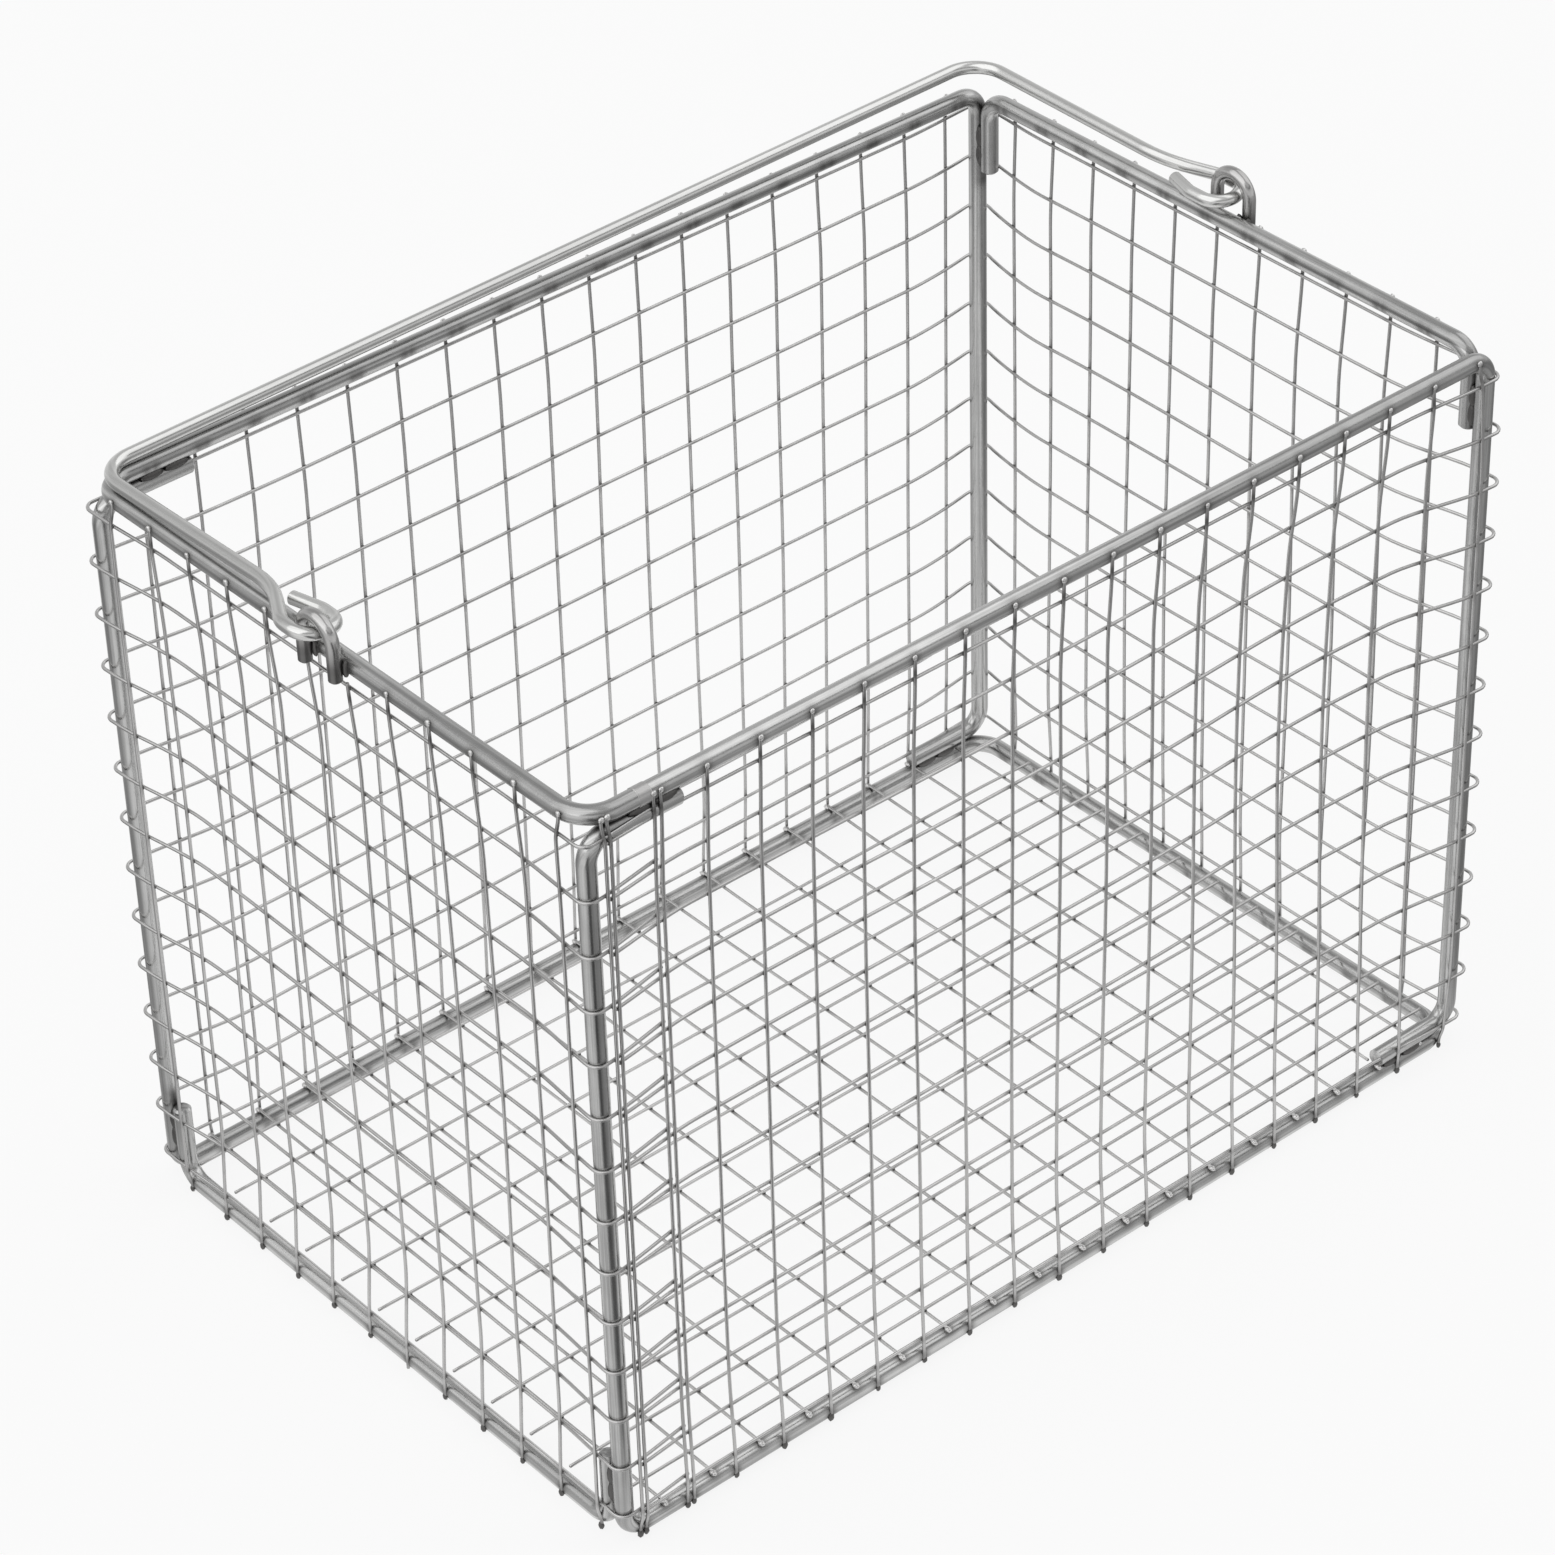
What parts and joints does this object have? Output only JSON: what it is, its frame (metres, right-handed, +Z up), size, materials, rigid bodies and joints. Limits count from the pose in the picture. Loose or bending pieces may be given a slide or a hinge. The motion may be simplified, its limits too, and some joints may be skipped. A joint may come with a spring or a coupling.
{
  "type": "wire mesh basket",
  "caption": "Open-topped rectangular wire mesh basket on a bent round-wire frame, with a bail handle that hooks into an ear on each short rim rail.",
  "frame": {"origin": "middle of the footprint, on the surface that the bottom rails stand on", "axes": "+X along the long side, +Y towards the long rail that the bail rests on, +Z up through the open mouth"},
  "size_m": [0.2514, 0.1606, 0.1873],
  "materials": {
    "frame_wire": "dull drawn stainless wire, electropolished after welding",
    "ear_wire": "dull drawn stainless wire",
    "handle_wire": "smooth bright drawn stainless wire",
    "mesh_wire": "fine dull stainless mesh wire"
  },
  "bodies": {
    "basket": {"rim_wire": "frame_wire", "rim_closer_wire": "frame_wire", "base_wire": "frame_wire", "rim_staple": "frame_wire", "foot_staple": "frame_wire", "near_ear": "ear_wire", "far_ear": "ear_wire", "near_long_uprights": "mesh_wire", "far_long_uprights": "mesh_wire", "near_short_uprights": "mesh_wire", "far_short_uprights": "mesh_wire", "strip_start_uprights": "mesh_wire", "floor_cross_wires": "mesh_wire", "floor_long_wires": "mesh_wire", "side_mesh_hoop_01": "mesh_wire", "side_mesh_hoop_02": "mesh_wire", "side_mesh_hoop_03": "mesh_wire", "side_mesh_hoop_04": "mesh_wire", "side_mesh_hoop_05": "mesh_wire", "side_mesh_hoop_06": "mesh_wire", "side_mesh_hoop_07": "mesh_wire", "side_mesh_hoop_08": "mesh_wire", "side_mesh_hoop_09": "mesh_wire", "side_mesh_hoop_10": "mesh_wire", "side_mesh_hoop_11": "mesh_wire", "side_mesh_hoop_12": "mesh_wire", "side_mesh_hoop_13": "mesh_wire", "side_mesh_hoop_14": "mesh_wire"},
    "handle": {"bail_handle": "handle_wire"}
  },
  "joints": [
    {"name": "handle_swing", "type": "hinge", "parent": "basket", "child": "handle", "pos_m": [0, -0.00095, 0.1819], "axis": [1, 0, 0], "range_deg": [0, 170]}
  ]
}
